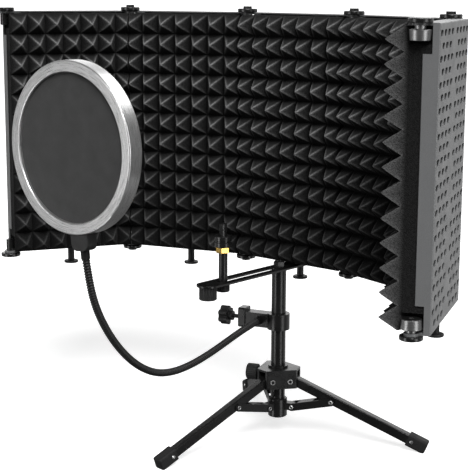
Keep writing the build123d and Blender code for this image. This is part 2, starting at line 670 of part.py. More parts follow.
def build_pop_filter():
    """Pole clamp, gooseneck and the two-layer pop filter."""
    save("pop_clamp", pop_clamp())
    save("clamp_knob", clamp_knob())
    save("gooseneck", gooseneck())
    save("gooseneck_ends", *gooseneck_ends())
    rim = hoop_rim()
    mesh = mesh_disc()
    back = Rot(180, 0, 0)
    save("pop_rim_front", hoop_place() * rim)
    save("pop_rim_back", hoop_place() * back * rim)
    save("pop_mesh_front", hoop_place() * mesh)
    save("pop_mesh_back", hoop_place() * back * mesh)
    save("pop_clip", hoop_clip())


build_shield()
build_arm()
build_tripod()
build_pop_filter()
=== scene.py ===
import json
import math

import bmesh
import bpy
from mathutils import Matrix, Vector, noise


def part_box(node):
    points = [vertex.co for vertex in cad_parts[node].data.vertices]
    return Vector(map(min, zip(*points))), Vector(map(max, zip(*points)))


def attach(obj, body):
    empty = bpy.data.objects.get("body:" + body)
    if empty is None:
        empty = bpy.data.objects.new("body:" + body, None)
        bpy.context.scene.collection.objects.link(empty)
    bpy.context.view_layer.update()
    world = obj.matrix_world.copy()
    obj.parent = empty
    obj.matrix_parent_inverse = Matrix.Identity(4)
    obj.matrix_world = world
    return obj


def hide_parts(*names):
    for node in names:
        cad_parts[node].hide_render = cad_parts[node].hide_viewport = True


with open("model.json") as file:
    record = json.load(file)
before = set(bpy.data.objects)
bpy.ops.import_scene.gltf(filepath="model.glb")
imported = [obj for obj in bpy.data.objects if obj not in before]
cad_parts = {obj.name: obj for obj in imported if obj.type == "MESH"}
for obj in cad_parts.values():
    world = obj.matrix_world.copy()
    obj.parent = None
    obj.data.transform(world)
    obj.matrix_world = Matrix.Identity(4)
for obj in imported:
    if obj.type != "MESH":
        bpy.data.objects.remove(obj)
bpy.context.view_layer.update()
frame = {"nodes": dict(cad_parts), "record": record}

NODES = frame["nodes"]
MM = 0.001
noise.seed_set(1)                               # without a seed, noise_vector follows the clock

# ---------------------------------------------------------------- dimensions shared with the CAD, in metres
POLE = Vector((5.9 * MM, 110.4 * MM, 0.0))      # pole axis on the floor
PANEL_PITCH = 165.0 * MM
PANEL_BOTTOM = 218.0 * MM
PANEL_HEIGHT = 310.0 * MM
CENTRE_PANEL_Y = 33.0 * MM
BENDS = (43.5, 18.5, 15.0, 53.0)                # between neighbouring panels, left to right, in degrees
FOAM_HALF_WIDTH = 80.0 * MM
FOAM_END_MARGIN = 3.0 * MM
FOAM_BASE = 15.0 * MM
PYRAMID_HEIGHT = 21.5 * MM
COLUMNS = 7
ROWS = 12
END_CUT = 0.5                                   # part of a pyramid cut off at the right-hand end
MITRES = (0.0, 23.4, 15.6, 15.6, 28.1, 0.0)     # half of each axis's bend when folded right in, in degrees
MITRE_CLEARANCE = 0.2 * MM
RELIEF_RADIUS = 13.5 * MM                       # room for the hinge sleeves at the foam's corners
RELIEF_HEIGHT = 22.0 * MM
LEG_HEADINGS = (-98.0, 22.0, 142.0)
LEG_SLOPE = 22.0
LEG_PIVOT_R = 20.0 * MM
LEG_PIVOT_Z = 75.0 * MM
LEG_LENGTH = 178.0 * MM
COLLAR_PIVOT_Z = 40.0 * MM
HUB_FACE = 12.6 * MM                            # where each pin meets the hub's face, from the leg's middle
COLLAR_PIN_END = 8.0 * MM
BRACE_PIN_END = 7.9 * MM
POST = POLE + Vector((0.0, -105.0 * MM, 0.0))
HOOP_CENTRE = POLE + Vector((0.0, -336.0 * MM, 397.0 * MM))
MESH_RADIUS = 84.0 * MM
MESH_DEPTH = 5.2 * MM                           # each mesh to the hoop's middle plane
GOOSENECK_ROUTE = (                             # from the pole axis, in millimetres
    (-17.3, -22.0, 149.0),
    (-10.3, -45.0, 149.0),
    (-7.5, -72.5, 144.0),
    (-7.0, -100.5, 136.0),
    (-6.5, -129.0, 128.8),
    (-5.0, -157.5, 124.4),
    (-3.0, -186.5, 123.5),
    (-1.0, -215.0, 128.2),
    (1.5, -242.0, 140.5),
    (4.5, -267.0, 158.5),
    (7.5, -289.0, 180.0),
    (10.5, -308.0, 204.0),
    (13.8, -323.5, 229.5),
    (16.4, -333.5, 256.0),
    (14.2, -336.0, 281.7),
)

# ---------------------------------------------------------------- finer detail that the CAD doesn't have
FOAM_SIDE_DEPTHS = (-14.0, -11.0, -8.0, -5.0, -2.0, 1.0, 5.0, 9.0, 13.0, 18.0)  # rows of points, in mm
# painted light and shade of the foam's flat faces: the cut end is painted lighter, the sides and back
# hidden between panels carry painted shade
CUT_FACE_PAINTED_LIGHT = 0.42                           # painted light of the foam where it has no pyramids, 0 to 1
OPEN_SIDE_PAINTED_LIGHT = 0.14
HIDDEN_PAINTED_SHADE = 0.06
JOINT_RADIUS = 2.4 * MM                         # foam bead in the corner of each joint
JOINT_END = 18.2 * MM                           # from the panel's ends to the bead's

# ---------------------------------------------------------------- studio, in metres and degrees
CAMERA_PLACE = (1.0235, -1.1428, 0.5659)
CAMERA_HEADING, CAMERA_DIP, CAMERA_ROLL = 41.126, 10.85, -0.27
CAMERA_LENS = 101.3
TOWARDS_SUN = (0.55, -0.45, 0.70)
AIM_HEIGHT = 0.35                               # highest point that a reflector faces
REFLECTORS = (                                  # name, heading, distance, height, size, radiance
    ("left_wall", 190.0, 2.4, 0.0, (3.4, 2.4), 0.4),
    ("front_strip", -110.0, 2.2, 0.1, (0.8, 2.4), 4.2),
    ("right_strip", -4.0, 2.2, 0.1, (0.8, 2.4), 3.6),
    ("back_wall", 72.0, 2.4, 0.0, (3.8, 2.4), 0.6),
    ("top_box", 80.0, 1.3, 2.0, (1.6, 1.1), 4.0),
    ("high_back", 128.0, 2.4, 1.25, (2.4, 1.6), 1.6),
)


# ---------------------------------------------------------------- camera
def make_camera():
    """Camera at the photograph's viewing angle: 41 degrees to the right, 11 degrees down."""
    data = bpy.data.cameras.new("camera")
    data.lens = CAMERA_LENS
    data.sensor_width = 36.0
    data.clip_end = 500.0
    camera = bpy.data.objects.new("camera", data)
    bpy.context.scene.collection.objects.link(camera)
    camera.location = CAMERA_PLACE
    camera.rotation_euler = [math.radians(a) for a in (90.0 - CAMERA_DIP, CAMERA_ROLL, CAMERA_HEADING)]
    bpy.context.scene.camera = camera


# ---------------------------------------------------------------- materials
class Shader:
    """A Principled material with procedural colour, roughness and relief in the object's coordinates."""

    def __init__(self, name, roughness, metallic=0.0, **constants):
        self.material = bpy.data.materials.new(name)
        self.material.use_nodes = True
        self.tree = self.material.node_tree
        self.shader = self.tree.nodes["Principled BSDF"]
        self.shader.inputs["Roughness"].default_value = roughness
        self.shader.inputs["Metallic"].default_value = metallic
        for socket, value in constants.items():
            self.shader.inputs[socket.replace("_", " ")].default_value = value
        self.place = self.node("ShaderNodeTexCoord").outputs["Object"]
        self.normal = None

    def node(self, kind, **settings):
        """New node of the material, with its settings."""
        made = self.tree.nodes.new(kind)
        for key, value in settings.items():
            setattr(made, key, value)
        return made

    def link(self, output, socket):
        """Joins an output to an input."""
        self.tree.links.new(output, socket)

    def stretched(self, scale, shift=(0.0, 0.0, 0.0)):
        """Coordinates moved by shift, then scaled along each axis."""
        move = self.node("ShaderNodeVectorMath", operation="ADD")
        self.link(self.place, move.inputs[0])
        move.inputs[1].default_value = shift
        size = self.node("ShaderNodeVectorMath", operation="MULTIPLY")
        self.link(move.outputs[0], size.inputs[0])
        size.inputs[1].default_value = scale
        return size.outputs[0]

    def polar(self, centre, scale):
        """Coordinates round a level axis along Y: radius, angle and depth, each scaled."""
        split = self.node("ShaderNodeSeparateXYZ")
        self.link(self.stretched((1.0, 1.0, 1.0), -Vector(centre)), split.inputs[0])
        angle = self.node("ShaderNodeMath", operation="ARCTAN2")
        self.link(split.outputs["Z"], angle.inputs[0])
        self.link(split.outputs["X"], angle.inputs[1])
        flat = self.node("ShaderNodeCombineXYZ")
        self.link(split.outputs["X"], flat.inputs["X"])
        self.link(split.outputs["Z"], flat.inputs["Z"])
        radius = self.node("ShaderNodeVectorMath", operation="LENGTH")
        self.link(flat.outputs[0], radius.inputs[0])
        joined = self.node("ShaderNodeCombineXYZ")
        self.link(radius.outputs["Value"], joined.inputs["X"])
        self.link(angle.outputs[0], joined.inputs["Y"])
        self.link(split.outputs["Y"], joined.inputs["Z"])
        size = self.node("ShaderNodeVectorMath", operation="MULTIPLY")
        self.link(joined.outputs[0], size.inputs[0])
        size.inputs[1].default_value = scale
        return size.outputs[0]

    def noise(self, scale, detail=3.0, place=None):
        """Soft cloudy noise, 0 to 1."""
        made = self.node("ShaderNodeTexNoise")
        made.inputs["Scale"].default_value = scale
        made.inputs["Detail"].default_value = detail
        self.link(place or self.place, made.inputs["Vector"])
        return made.outputs["Fac"]

    def cells(self, scale):
        """Distance from the middle of scattered cells, which gives pits."""
        made = self.node("ShaderNodeTexVoronoi")
        made.inputs["Scale"].default_value = scale
        self.link(self.place, made.inputs["Vector"])
        return made.outputs["Distance"]

    def waves(self, scale, direction, place=None):
        """Parallel bands across one axis, 0 to 1."""
        made = self.node("ShaderNodeTexWave", bands_direction=direction)
        made.inputs["Scale"].default_value = scale
        self.link(place or self.place, made.inputs["Vector"])
        return made.outputs["Fac"]

    def combined(self, a, b, operation="MULTIPLY"):
        """Two values put together by a maths node."""
        made = self.node("ShaderNodeMath", operation=operation)
        self.link(a, made.inputs[0])
        self.link(b, made.inputs[1])
        return made.outputs[0]

    def ranged(self, value, low, high, start=0.3, end=0.7):
        """A value that goes from low to high while another goes from start to end."""
        made = self.node("ShaderNodeMapRange")
        self.link(value, made.inputs["Value"])
        made.inputs["From Min"].default_value = start
        made.inputs["From Max"].default_value = end
        made.inputs["To Min"].default_value = low
        made.inputs["To Max"].default_value = high
        return made.outputs["Result"]

    def colour(self, value, dark, light, start=0.3, end=0.7):
        """Base colour from dark to light while a value goes from start to end."""
        ramp = self.node("ShaderNodeValToRGB")
        ramp.color_ramp.elements[0].position = start
        ramp.color_ramp.elements[0].color = (*dark, 1.0)
        ramp.color_ramp.elements[1].position = end
        ramp.color_ramp.elements[1].color = (*light, 1.0)
        self.link(value, ramp.inputs["Fac"])
        self.link(ramp.outputs["Color"], self.shader.inputs["Base Color"])
        return self

    def roughness(self, value, low, high):
        """Roughness that follows a value."""
        self.link(self.ranged(value, low, high), self.shader.inputs["Roughness"])
        return self

    def relief(self, value, depth, strength=1.0):
        """One more layer of bump, depth in metres from the value's 0 to its 1."""
        bump = self.node("ShaderNodeBump")
        bump.inputs["Distance"].default_value = depth
        bump.inputs["Strength"].default_value = strength
        self.link(value, bump.inputs["Height"])
        if self.normal:
            self.link(self.normal, bump.inputs["Normal"])
        self.normal = bump.outputs["Normal"]
        self.link(self.normal, self.shader.inputs["Normal"])
        return self


def grey(value, warmth=0.0):
    """Linear RGB of a grey, with a little more red than blue, or less where warmth is below 0."""
    return (value * (1 + warmth), value, value * (1 - warmth))


def powder_coat():
    """Satin powder coat with a fine orange-peel grain."""
    s = Shader("powder_coat", 0.4, Specular_IOR_Level=0.5)
    s.colour(s.noise(2600.0, 2.0), grey(0.13, -0.015), grey(0.19, -0.015))
    s.roughness(s.noise(60.0), 0.34, 0.46)
    s.relief(s.noise(1900.0, 2.0), 0.00006)
    return s.material


def foam_material():
    """Open-cell foam: matt charcoal with pits, with painted shade in the valleys and a painted highlight
    along its cut ridges.
    """
    s = Shader("acoustic_foam", 0.95, Specular_IOR_Level=0.12, Sheen_Weight=0.03, Sheen_Roughness=0.4)
    # each point carries its painted light and shade, which sets how light the charcoal is
    painted_light = s.node("ShaderNodeAttribute", attribute_name="painted_light").outputs["Fac"]
    pores = s.cells(900.0)
    grain = s.ranged(s.combined(pores, s.noise(420.0), "ADD"), 0.35, 1.25, 0.5, 1.2)
    s.colour(s.combined(painted_light, grain), grey(0.003), grey(0.24), 0.03, 0.95)
    s.relief(pores, 0.0006, 0.9)
    s.relief(s.noise(260.0, 4.0), 0.0006, 0.7)
    return s.material


def gloss_black():
    """Moulded black plastic, glossy, with a faint flow texture."""
    s = Shader("gloss_black_plastic", 0.24, Specular_IOR_Level=0.45)
    s.colour(s.noise(350.0), grey(0.004), grey(0.009))
    s.roughness(s.noise(180.0), 0.19, 0.32)
    s.relief(s.noise(500.0, 2.0), 0.00002)
    return s.material


def matt_black_plastic():
    """Black plastic with a fine spark-eroded texture."""
    s = Shader("matt_black_plastic", 0.5, Specular_IOR_Level=0.35)
    s.colour(s.noise(900.0), grey(0.004), grey(0.010))
    s.roughness(s.noise(120.0), 0.46, 0.62)
    s.relief(s.noise(2400.0, 2.0), 0.00007)
    return s.material


def turned_metal():
    """Turned aluminium: fine rings across the axis and streaks of roughness."""
    s = Shader("turned_metal", 0.26, 1.0)
    rings = s.noise(1.0, 2.0, s.stretched((40.0, 40.0, 5200.0)))
    s.colour(rings, grey(0.16), grey(0.26))
    s.roughness(rings, 0.32, 0.42)
    s.relief(rings, 0.000006)
    return s.material


def satin_black_metal():
    """Black satin enamel on steel."""
    s = Shader("satin_black_metal", 0.27, Specular_IOR_Level=0.34)
    s.colour(s.noise(1300.0), grey(0.004), grey(0.009))
    s.roughness(s.noise(70.0), 0.22, 0.34)
    s.relief(s.noise(1500.0, 2.0), 0.00003)
    return s.material


def rubber():
    """Black rubber of the leg caps, dull and slightly rough."""
    s = Shader("rubber", 0.7, Specular_IOR_Level=0.3)
    s.colour(s.noise(700.0), grey(0.006), grey(0.013))
    s.roughness(s.noise(90.0), 0.6, 0.78)
    s.relief(s.noise(900.0, 3.0), 0.00012)
    return s.material


def rivet_steel():
    """Bare steel with fine scratches."""
    s = Shader("rivet_steel", 0.3, 1.0)
    scratches = s.noise(800.0, 4.0)
    s.colour(scratches, grey(0.35), grey(0.6))
    s.roughness(scratches, 0.22, 0.42)
    s.relief(scratches, 0.00003)
    return s.material


def brass():
    """Polished brass with fine turning marks."""
    s = Shader("brass", 0.16, 1.0)
    marks = s.noise(1.0, 2.0, s.stretched((120.0, 120.0, 3800.0)))
    s.colour(marks, (0.78, 0.47, 0.10), (0.98, 0.68, 0.22))
    s.roughness(marks, 0.12, 0.24)
    s.relief(marks, 0.00002)
    return s.material


def hose_black():
    """Black lacquered steel spiral: smooth on its crests and dull in its grooves, with a painted highlight
    on the crests and painted shade, black, in the grooves.
    """
    s = Shader("hose_black", 0.3, Specular_IOR_Level=0.22)
    crest = s.node("ShaderNodeAttribute", attribute_name="crest").outputs["Fac"]
    # painted highlight on the crests and painted shade in the grooves, with a little random tone
    painted_shading = s.combined(crest, s.ranged(s.noise(600.0), 0.8, 1.1))
    s.colour(painted_shading, grey(0.001), grey(0.03), 0.5, 1.0)
    s.link(s.ranged(crest, 0.65, 0.2, 0.3, 1.0), s.shader.inputs["Roughness"])
    s.relief(s.noise(1800.0, 2.0), 0.00003)
    return s.material


def brushed_silver():
    """Silver paint brushed round the hoop."""
    s = Shader("brushed_silver", 0.3, 0.85)
    streaks = s.noise(1.0, 3.0, s.polar(HOOP_CENTRE, (3800.0, 5.0, 3800.0)))
    s.colour(streaks, grey(0.38), grey(0.66))
    s.roughness(streaks, 0.24, 0.4)
    s.relief(streaks, 0.00004)
    return s.material


def filter_mesh():
    """Knitted nylon: two crossing sets of threads."""
    s = Shader("filter_mesh", 0.7, Sheen_Weight=0.1, Sheen_Roughness=0.4)
    thread = 1150.0
    weave = s.combined(s.waves(thread, "X"), s.waves(thread, "Z"), "MAXIMUM")
    s.colour(weave, grey(0.008), grey(0.038), 0.1, 0.95)
    s.roughness(s.noise(60.0), 0.62, 0.8)
    s.relief(weave, 0.00018)
    return s.material


MATERIALS = {
    "shield_metal": powder_coat(),
    "foam": foam_material(),
    "knob_black": gloss_black(),
    "sleeve_metal": turned_metal(),
    "satin_black": satin_black_metal(),
    "foot_black": matt_black_plastic(),
    "rubber_black": rubber(),
    "rivet_steel": rivet_steel(),
    "brass": brass(),
    "hose_black": hose_black(),
    "rim_silver": brushed_silver(),
    "mesh_black": filter_mesh(),
}


# ---------------------------------------------------------------- mesh helpers
def turned_about(axis, degrees):
    """Rotation matrix about an axis by an angle in degrees."""
    return Matrix.Rotation(math.radians(degrees), 4, axis)


def body_of_node(node):
    """Name of the body that carries a CAD node."""
    return next(b for b, members in frame["record"]["behaviour"]["bodies"].items() if node in members)


def slot_of_node(node):
    """Material slot that the record gives a CAD node."""
    return next(s["material_slot"] for s in frame["record"]["subparts"] if s["node"] == node)


def add_piece(name, vertices, faces, slot, smooth=True):
    """New mesh object with the material that belongs to one of the record's slots."""
    mesh = bpy.data.meshes.new(name)
    mesh.from_pydata([tuple(v) for v in vertices], [], faces)
    mesh.validate()
    piece = bpy.data.objects.new(name, mesh)
    bpy.context.scene.collection.objects.link(piece)
    mesh.materials.append(MATERIALS[slot])
    mesh.polygons.foreach_set("use_smooth", [smooth] * len(mesh.polygons))
    return piece


def outward(piece):
    """Turn every face of a closed mesh outwards."""
    work = bmesh.new()
    work.from_mesh(piece.data)
    bmesh.ops.recalc_face_normals(work, faces=work.faces)
    work.to_mesh(piece.data)
    work.free()


def sharp_above(piece, degrees):
    """Smooth shading, broken at edges that are sharper than an angle."""
    piece.data.set_sharp_from_angle(angle=math.radians(degrees))


def softened(node, width, segments=2):
    """A copy of a CAD node with small rounded edges, which stands for the node."""
    work = bmesh.new()
    work.from_mesh(NODES[node].data)
    bmesh.ops.remove_doubles(work, verts=work.verts, dist=1e-6)
    bmesh.ops.dissolve_limit(work, angle_limit=math.radians(0.5), verts=work.verts, edges=work.edges)
    mesh = bpy.data.meshes.new(node + "_finished")
    work.to_mesh(mesh)
    work.free()
    piece = bpy.data.objects.new(node + "_finished", mesh)
    bpy.context.scene.collection.objects.link(piece)
    slot = slot_of_node(node)
    mesh.materials.clear()
    mesh.materials.append(MATERIALS[slot])
    mesh.polygons.foreach_set("use_smooth", [True] * len(mesh.polygons))
    bevel = piece.modifiers.new("edges", "BEVEL")
    bevel.width = width
    bevel.segments = segments
    bevel.limit_method = "ANGLE"
    bevel.angle_limit = math.radians(40.0)
    weighted = piece.modifiers.new("shading", "WEIGHTED_NORMAL")
    weighted.keep_sharp = True
    weighted.weight = 100
    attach(piece, body_of_node(node))
    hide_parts(node)
    return piece


def lathe(name, profile, place, slot, sides=48, hollow=False):
    """Solid of revolution; profile is (radius, height), closed by two discs or, when hollow, by a bore."""
    vertices = []
    faces = []
    for radius, height in profile:
        for i in range(sides):
            a = 2 * math.pi * i / sides
            vertices.append(place @ Vector((radius * math.cos(a), radius * math.sin(a), height)))
    for row in range(len(profile) - 1):
        for i in range(sides):
            j = (i + 1) % sides
            faces.append((row * sides + i, row * sides + j, (row + 1) * sides + j, (row + 1) * sides + i))
    last = (len(profile) - 1) * sides
    if hollow:
        faces += [(last + i, last + (i + 1) % sides, (i + 1) % sides, i) for i in range(sides)]
    else:
        faces.append(tuple(reversed(range(sides))))
        faces.append(tuple(range(last, last + sides)))
    piece = add_piece(name, vertices, faces, slot)
    outward(piece)
    sharp_above(piece, 35.0)
    return piece


# ---------------------------------------------------------------- acoustic foam
def panel_places():
    """Frame of each panel, left to right: X along it, Y out of its back, Z from its lower edge."""
    headings = [BENDS[0] + BENDS[1], BENDS[1], 0.0, -BENDS[2], -BENDS[2] - BENDS[3]]
    steps = [turned_about("Z", a) @ Vector((PANEL_PITCH, 0, 0)) for a in headings]
    axes = [None, None, POLE + Vector((-PANEL_PITCH / 2, CENTRE_PANEL_Y, 0)), None, None, None]
    for i in (1, 0):
        axes[i] = axes[i + 1] - steps[i]
    for i in (3, 4, 5):
        axes[i] = axes[i - 1] + steps[i - 1]
    places = []
    for k, angle in enumerate(headings):
        middle = (axes[k] + axes[k + 1]) / 2 + Vector((0, 0, PANEL_BOTTOM))
        places.append(Matrix.Translation(middle) @ turned_about("Z", angle))
    return places


def side_limit(depth, height, mitre):
    """How far from the panel's middle the foam may reach, at a depth behind the hinge plane."""
    limit = min(FOAM_HALF_WIDTH, PANEL_PITCH / 2 - MITRE_CLEARANCE + depth * math.tan(math.radians(mitre)))
    near_end = height > PANEL_HEIGHT - RELIEF_HEIGHT or height < RELIEF_HEIGHT
    if near_end and abs(depth) < RELIEF_RADIUS:
        limit = min(limit, PANEL_PITCH / 2 - math.sqrt(RELIEF_RADIUS**2 - depth**2))
    return limit


def triangle(position):
    """Height of a row of triangles, 0 at whole numbers and 1 half-way between them."""
    return 1 - abs(2 * (position % 1.0) - 1)


def pyramid(across, up):
    """Height of the foam's surface, 0 to 1, at a place counted in pyramids."""
    u, v = triangle(across), triangle(up)
    ridge_rounding, tip_rounding = 0.05, 0.05
    slope = 0.5 * (u + v - math.sqrt((u - v) ** 2 + ridge_rounding**2))
    slope += ridge_rounding / 2 * (1 - min(u, v))
    return max(0.0, 1 - math.sqrt((1 - slope) ** 2 + tip_rounding**2))


def painted_foam_light(across, up):
    """Painted light and shade of the foam at a place: painted shade in the valleys, darker on the facets
    that face down and towards the bottom rows, and a painted highlight along the ridges.
    """
    u, v = triangle(across), triangle(up)
    ridge_highlight_width, darkest = 0.13, 0.03
    # painted highlight along the ridges
    painted_light = math.exp(-((u - v) / ridge_highlight_width) ** 2)
    # painted shade: facets that face down are darker
    faces_down = v < u and up % 1.0 < 0.5
    facet_shade = 0.06 if faces_down else 0.13
    # painted shade: the foam is darker towards the bottom rows
    painted_shading = 0.25 + 0.75 * min(1.0, up / (0.7 * ROWS))
    return painted_shading * min(u, v) * (facet_shade + (1 - facet_shade) * painted_light) + darkest


def foam_block(k, place):
    """Pyramid foam of panel k, with mitred ends; the surface wanders a little, as cut foam does."""
    per_pyramid = 12                            # steps of the mesh across one pyramid
    wander_scale, wander_reach = 45.0, 1.6 * MM
    columns = COLUMNS - (END_CUT if k == 5 else 0)
    across, up = int(columns * per_pyramid), ROWS * per_pyramid
    height = PANEL_HEIGHT - 2 * FOAM_END_MARGIN
    left, right = MITRES[k - 1], MITRES[k]

    def limited(x, y, z):
        """Place across the panel, held within its two mitres."""
        return max(-side_limit(y, z, left), min(side_limit(y, z, right), x))

    def grid_place(i, j):
        """Places across and up the panel of a point of the grid."""
        return -FOAM_HALF_WIDTH + 2 * FOAM_HALF_WIDTH * i / across, FOAM_END_MARGIN + height * j / up

    vertices = []
    # painted light and shade of each point, which the foam material turns into colour
    lights = []
    for j in range(up + 1):
        for i in range(across + 1):
            cut_end = k == 5 and i == across
            lights.append(CUT_FACE_PAINTED_LIGHT if cut_end else painted_foam_light(i / per_pyramid, j / per_pyramid))
            x, z = grid_place(i, j)
            raised = pyramid(i / per_pyramid, j / per_pyramid)
            wander = noise.noise_vector(place @ Vector((x, 0, z)) * wander_scale) * wander_reach * raised
            y = -FOAM_BASE - PYRAMID_HEIGHT * raised + 0.3 * wander.y
            z = z + wander.z
            vertices.append(Vector((limited(x + wander.x, y, z), y, z)))

    def front(i, j):
        """Number of the front vertex at a point of the grid."""
        return j * (across + 1) + i

    faces = []
    for j in range(up):
        for i in range(across):
            a, b, c, d = front(i, j), front(i + 1, j), front(i + 1, j + 1), front(i, j + 1)
            rising = (i % per_pyramid < per_pyramid / 2) == (j % per_pyramid < per_pyramid / 2)
            faces += [(a, b, c), (a, c, d)] if rising else [(a, b, d), (b, c, d)]
    rim = [(i, 0) for i in range(across)] + [(across, j) for j in range(up)]
    rim += [(i, up) for i in range(across, 0, -1)] + [(0, j) for j in range(up, 0, -1)]
    loops = [[front(i, j) for i, j in rim]]
    for depth in FOAM_SIDE_DEPTHS:
        loop = []
        for i, j in rim:
            x, z = grid_place(i, j)
            loop.append(len(vertices))
            vertices.append(Vector((limited(x, depth * MM, z), depth * MM, z)))
        loops.append(loop)
    for outer, inner in zip(loops, loops[1:]):
        for n in range(len(rim)):
            m = (n + 1) % len(rim)
            faces.append((outer[n], inner[n], inner[m], outer[m]))
    faces.append(tuple(loops[-1]))
    piece = add_piece(f"foam_block_{k}", [place @ v for v in vertices], faces, "foam")
    # painted shade on the sides and back: darker where they are hidden between panels than on the open ends
    first_row = OPEN_SIDE_PAINTED_LIGHT if k in (1, 5) else HIDDEN_PAINTED_SHADE
    lights += [first_row] * len(rim) + [HIDDEN_PAINTED_SHADE] * len(rim) * (len(FOAM_SIDE_DEPTHS) - 1)
    piece.data.attributes.new("painted_light", "FLOAT", "POINT").data.foreach_set("value", lights)
    outward(piece)
    sharp_above(piece, 62.0)
    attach(piece, body_of_node(f"foam_pad_{k}"))
    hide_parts(f"foam_pad_{k}")


def foam_joint(k, places):
    """Foam bead in the corner between panels k and k + 1, painted at the foam's darkest as shade; it keeps
    light out of the joint.
    """
    side = 1 if k < 3 else -1                   # towards the middle of the panel that carries the bead
    owner = k + 1 if side > 0 else k
    place = places[owner - 1] @ Matrix.Translation((-side * PANEL_PITCH / 2, 0, 0))
    margin, steps = 2.0, 10
    opening = 180.0 - 2 * MITRES[k] - 2 * margin
    section = [Vector((0.0, 0.0, 0.0))]
    for i in range(steps + 1):
        a = math.radians(margin + opening * i / steps)
        section.append(Vector((side * math.cos(a), -math.sin(a), 0.0)) * JOINT_RADIUS)
    levels = (JOINT_END, PANEL_HEIGHT - JOINT_END)
    vertices = [place @ (point + Vector((0, 0, level))) for level in levels for point in section]
    count = len(section)
    faces = [(i, (i + 1) % count, count + (i + 1) % count, count + i) for i in range(count)]
    faces += [tuple(reversed(range(count))), tuple(range(count, 2 * count))]
    # the bead carries no painted-light values, so the foam material paints it at its darkest: painted shade
    # in the joint
    piece = add_piece(f"foam_joint_{k}", vertices, faces, "foam")
    outward(piece)
    sharp_above(piece, 40.0)
    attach(piece, body_of_node(f"foam_pad_{owner}"))


# ---------------------------------------------------------------- gooseneck
def route_line(route):
    """Close points on the smooth line through a route, as Blender's own NURBS spline gives them."""
    curve = bpy.data.curves.new("route", "CURVE")
    curve.dimensions = "3D"
    spline = curve.splines.new("NURBS")
    spline.points.add(len(route) - 1)
    for point, place in zip(spline.points, route):
        point.co = (*place, 1.0)
    spline.order_u = 3
    spline.use_endpoint_u = True
    spline.resolution_u = 40
    holder = bpy.data.objects.new("route", curve)
    bpy.context.scene.collection.objects.link(holder)
    bpy.context.view_layer.update()
    line = bpy.data.meshes.new_from_object(holder)
    points = [v.co.copy() for v in line.vertices]
    bpy.data.objects.remove(holder)
    bpy.data.curves.remove(curve)
    bpy.data.meshes.remove(line)
    return points


def evenly(points, step):
    """Points at equal steps along a polyline, with the direction at each."""
    placed = []
    travelled = 0.0
    for a, b in zip(points, points[1:]):
        span = (b - a).length
        while span > 0 and len(placed) * step <= travelled + span:
            placed.append((a.lerp(b, (len(placed) * step - travelled) / span), (b - a) / span))
        travelled += span
    return placed


def ribbed_hose():
    """The gooseneck's steel spiral: a tube with one rib that winds along it."""
    rib_pitch = 3.0 * MM
    rings_per_rib = 8
    sides = 24
    outer, groove = 4.3 * MM, 1.2 * MM
    placed = evenly(route_line([POLE + Vector(p) * MM for p in GOOSENECK_ROUTE]), rib_pitch / rings_per_rib)
    side = Vector((1, 0, 0))
    vertices = []
    crests = []
    for n, (point, along) in enumerate(placed):
        side = (side - along * side.dot(along)).normalized()
        other = along.cross(side)
        for i in range(sides):
            turn = i / sides
            phase = (n / rings_per_rib - turn) % 1.0
            depth = abs(2 * phase - 1) ** 2
            radius = outer - groove * depth
            crests.append(1 - depth)
            angle = 2 * math.pi * turn
            vertices.append(point + (side * math.cos(angle) + other * math.sin(angle)) * radius)
    faces = []
    for n in range(len(placed) - 1):
        for i in range(sides):
            j = (i + 1) % sides
            faces.append((n * sides + i, n * sides + j, (n + 1) * sides + j, (n + 1) * sides + i))
    last = (len(placed) - 1) * sides
    faces.append(tuple(reversed(range(sides))))
    faces.append(tuple(range(last, last + sides)))
    piece = add_piece("gooseneck_spiral", vertices, faces, "hose_black")
    # how near each point is to a rib's crest; the hose material paints its highlight and shade from it
    piece.data.attributes.new("crest", "FLOAT", "POINT").data.foreach_set("value", crests)
    outward(piece)
    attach(piece, body_of_node("gooseneck"))
    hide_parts("gooseneck")


# ---------------------------------------------------------------- pop filter
def stretched_mesh(name, node, side):
    """Round mesh held at its edge; it bows in a little where it isn't drawn quite tight."""
    rings, sides = 20, 96
    slack_scale, slack_reach = 22.0, 0.4 * MM
    vertices = [HOOP_CENTRE + Vector((0, side * MESH_DEPTH, 0))]
    for ring in range(1, rings + 1):
        share = ring / rings
        for i in range(sides):
            a = 2 * math.pi * i / sides
            x, z = share * MESH_RADIUS * math.cos(a), share * MESH_RADIUS * math.sin(a)
            slack = noise.noise(Vector((x, side, z)) * slack_scale) * slack_reach * (1 - share**4)
            vertices.append(HOOP_CENTRE + Vector((x, side * MESH_DEPTH + slack, z)))
    faces = [(0, 1 + i, 1 + (i + 1) % sides) for i in range(sides)]
    for ring in range(rings - 1):
        for i in range(sides):
            a, b = 1 + ring * sides + i, 1 + ring * sides + (i + 1) % sides
            faces.append((a, a + sides, b + sides, b))
    piece = add_piece(name, vertices, faces, "mesh_black")
    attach(piece, body_of_node(node))
    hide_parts(node)


